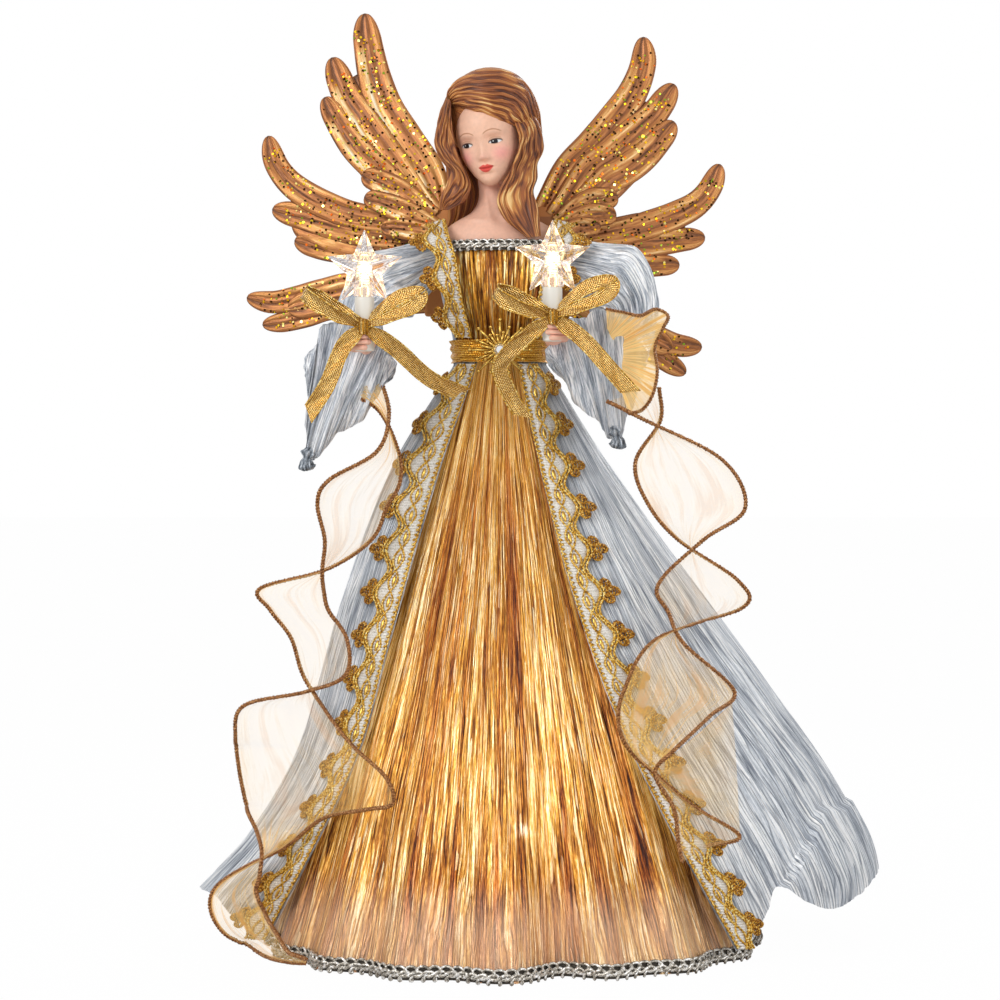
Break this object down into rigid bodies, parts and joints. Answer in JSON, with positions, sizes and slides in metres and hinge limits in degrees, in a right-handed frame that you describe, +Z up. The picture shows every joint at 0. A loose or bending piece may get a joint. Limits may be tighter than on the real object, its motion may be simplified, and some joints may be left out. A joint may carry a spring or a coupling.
{
  "type": "angel tree topper",
  "caption": "Lit angel tree topper: dressed figure with glittered wings and star-covered candles, on a hollow cone that slips over the tip of a tree.",
  "frame": {"origin": "middle of the base cone's open foot, in the plane it stands on", "axes": "+Z up along the cone, the figure faces -Y, +X is the viewer's right"},
  "size_m": [0.299, 0.2385, 0.4068],
  "materials": {
    "paper": "matt",
    "skin": "satin paint",
    "gold_cloth": "metallic lame",
    "lining_cloth": "matt",
    "silver_cloth": "crinkled metallic",
    "silver_braid": "metallic thread",
    "lace": "metallic thread",
    "ribbon": "satin",
    "gold_metal": "polished",
    "stone": "faceted",
    "wing_paint": "metallic paint with glitter",
    "clear": "clear",
    "lamp_glass": "clear, lit",
    "white_plastic": "satin",
    "wire": "satin",
    "steel": "plated",
    "organza": "sheer"
  },
  "bodies": {
    "gown": {"base_cone": "paper", "torso_core": "paper", "head_bust": "skin", "bodice": "gold_cloth", "underskirt": "gold_cloth", "lining": "lining_cloth", "coat_bodice": "silver_cloth", "coat_skirt": "silver_cloth", "neckline_braid": "silver_braid", "hem_braid": "silver_braid", "skirt_trim_left": "lace", "skirt_trim_right": "lace", "lapel_trim_left": "lace", "lapel_trim_right": "lace", "waist_sash": "ribbon", "brooch_rays": "gold_metal", "brooch_stone": "stone", "wing_upper_left": "wing_paint", "wing_upper_right": "wing_paint", "wing_lower_left": "wing_paint", "wing_lower_right": "wing_paint", "lamp_bulb_1": "lamp_glass", "lamp_bulb_2": "lamp_glass", "lamp_bulb_3": "lamp_glass", "lamp_bulb_4": "lamp_glass", "lamp_bulb_5": "lamp_glass", "lamp_bulb_6": "lamp_glass", "lamp_bulb_7": "lamp_glass", "lamp_bulb_8": "lamp_glass", "wing_bracket": "white_plastic", "lamp_socket_1": "white_plastic", "lamp_socket_2": "white_plastic", "lamp_socket_3": "white_plastic", "lamp_socket_4": "white_plastic", "lamp_socket_5": "white_plastic", "lamp_socket_6": "white_plastic", "lamp_socket_7": "white_plastic", "lamp_socket_8": "white_plastic", "lamp_wire": "wire", "wing_screw_left": "steel", "wing_screw_right": "steel", "scarf_left": "organza", "scarf_right": "organza"},
    "arm_left": {"arm_core_left": "wire", "puff_left": "silver_cloth", "bell_left": "silver_cloth", "hand_left": "skin", "candle_left": "white_plastic", "bow_left": "ribbon"},
    "arm_right": {"arm_core_right": "wire", "puff_right": "silver_cloth", "bell_right": "silver_cloth", "hand_right": "skin", "candle_right": "white_plastic", "bow_right": "ribbon"},
    "lamp_left": {"star_bulb_left": "lamp_glass"},
    "lamp_right": {"star_bulb_right": "lamp_glass"},
    "cover_left": {"star_left": "clear"},
    "cover_right": {"star_right": "clear"}
  },
  "joints": [
    {"name": "arm_left_raise", "type": "hinge", "parent": "gown", "child": "arm_left", "pos_m": [-0.0275, 0.001, 0.29135], "axis": [-1, 0, 0], "range_deg": [-6, 14], "deforming": ["scarf_left"]},
    {"name": "lamp_left_pull", "type": "slide", "parent": "arm_left", "child": "lamp_left", "axis": [0, 0, 1], "range_m": [0, 0.008]},
    {"name": "cover_left_lift", "type": "slide", "parent": "lamp_left", "child": "cover_left", "axis": [0, 0, 1], "range_m": [0, 0.026]},
    {"name": "arm_right_raise", "type": "hinge", "parent": "gown", "child": "arm_right", "pos_m": [0.0275, 0.001, 0.29135], "axis": [-1, 0, 0], "range_deg": [-6, 14], "deforming": ["scarf_right"]},
    {"name": "lamp_right_pull", "type": "slide", "parent": "arm_right", "child": "lamp_right", "axis": [0, 0, 1], "range_m": [0, 0.008]},
    {"name": "cover_right_lift", "type": "slide", "parent": "lamp_right", "child": "cover_right", "axis": [0, 0, 1], "range_m": [0, 0.026]}
  ]
}
